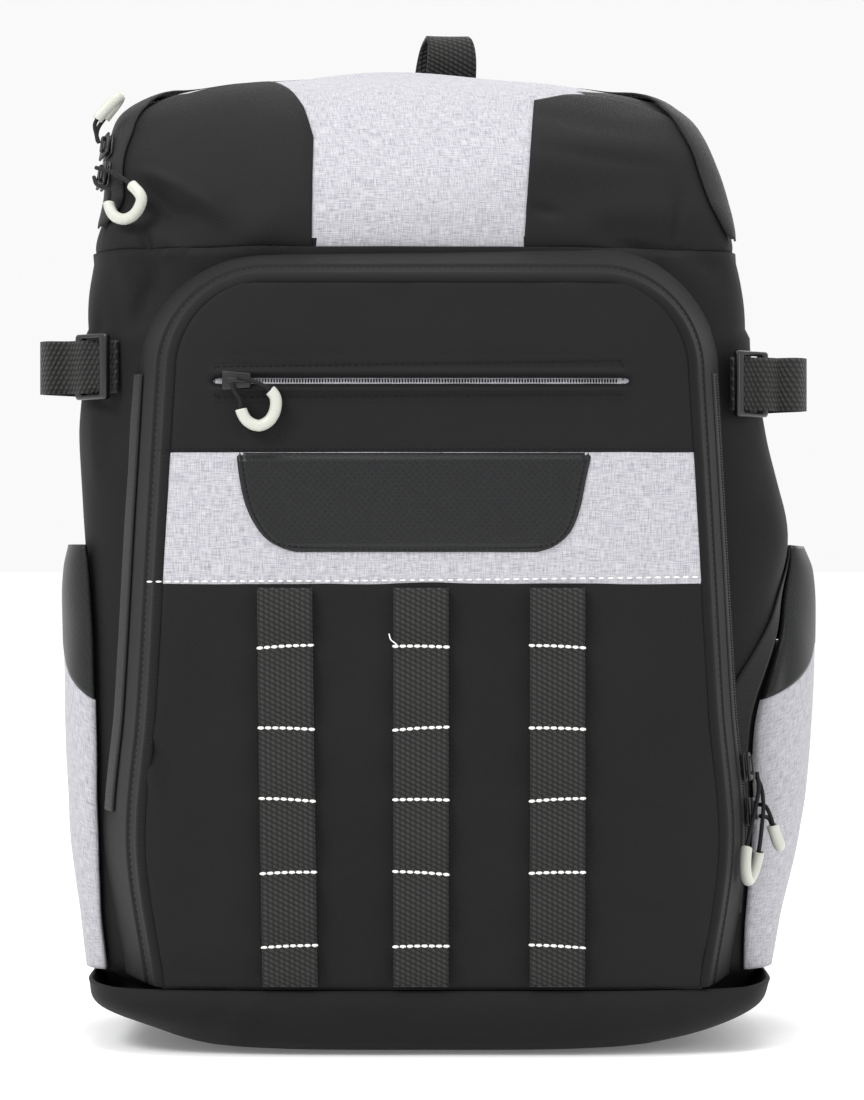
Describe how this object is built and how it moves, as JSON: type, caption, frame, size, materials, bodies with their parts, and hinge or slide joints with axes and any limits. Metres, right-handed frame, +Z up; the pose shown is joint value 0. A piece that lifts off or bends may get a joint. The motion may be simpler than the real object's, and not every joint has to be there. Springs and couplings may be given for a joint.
{
  "type": "baseball bat backpack",
  "caption": "Upright soft backpack with a padded back, front pocket, side bat pockets and straps, zipped hood and webbing ladders.",
  "frame": {"origin": "on the floor, in the middle of the flattened base, below the body's middle in width", "axes": "+Z up; -Y towards the front pocket, +Y towards the wearer's back and the shoulder straps; +X to the right as the front is looked at"},
  "size_m": [0.3753, 0.2528, 0.4892],
  "materials": {
    "black_cloth": "charcoal twill",
    "grey_cloth": "heather grey plain weave",
    "black_leather": "perforated synthetic leather",
    "air_mesh": "padded spacer mesh",
    "black_plastic": "semi-gloss moulded",
    "pull_rubber": "satin translucent tube",
    "webbing": "woven polyester webbing",
    "zip": "zip tape with a nylon coil"
  },
  "bodies": {
    "root": {"base_boot": "black_cloth", "main_body": "black_cloth", "hood": "grey_cloth", "hood_panel_left": "black_cloth", "hood_panel_right": "black_cloth", "main_zip": "zip", "back_panel": "air_mesh", "pocket_gusset": "black_cloth", "pocket_zip_left": "zip", "pocket_zip_right": "zip", "front_panel_upper": "black_cloth", "front_band": "grey_cloth", "front_panel_lower": "black_cloth", "leather_patch": "black_leather", "window_zip": "zip", "daisy_chain_left": "webbing", "daisy_chain_centre": "webbing", "daisy_chain_right": "webbing", "side_pocket_left": "grey_cloth", "side_trim_left": "black_leather", "side_pocket_right": "grey_cloth", "side_trim_right": "black_leather", "side_zip": "zip", "side_strap_left": "webbing", "ladder_lock_left": "black_plastic", "side_strap_right": "webbing", "ladder_lock_right": "black_plastic", "haul_loop": "webbing", "shoulder_strap_left": "air_mesh", "shoulder_strap_right": "air_mesh", "shoulder_webbing_left": "webbing", "shoulder_lock_left": "black_plastic", "shoulder_webbing_right": "webbing", "shoulder_lock_right": "black_plastic", "slider_window": "black_plastic", "slider_pocket_1": "black_plastic", "slider_pocket_2": "black_plastic", "slider_main_1": "black_plastic", "slider_main_2": "black_plastic", "pull_cord_main_1": "webbing", "pull_tube_main_1": "pull_rubber", "pull_cord_main_2": "webbing", "pull_tube_main_2": "pull_rubber", "pull_cord_window": "webbing", "pull_tube_window": "pull_rubber", "pull_cord_pocket_1": "webbing", "pull_tube_pocket_1": "pull_rubber", "pull_cord_pocket_2": "webbing", "pull_tube_pocket_2": "pull_rubber"}
  },
  "joints": []
}
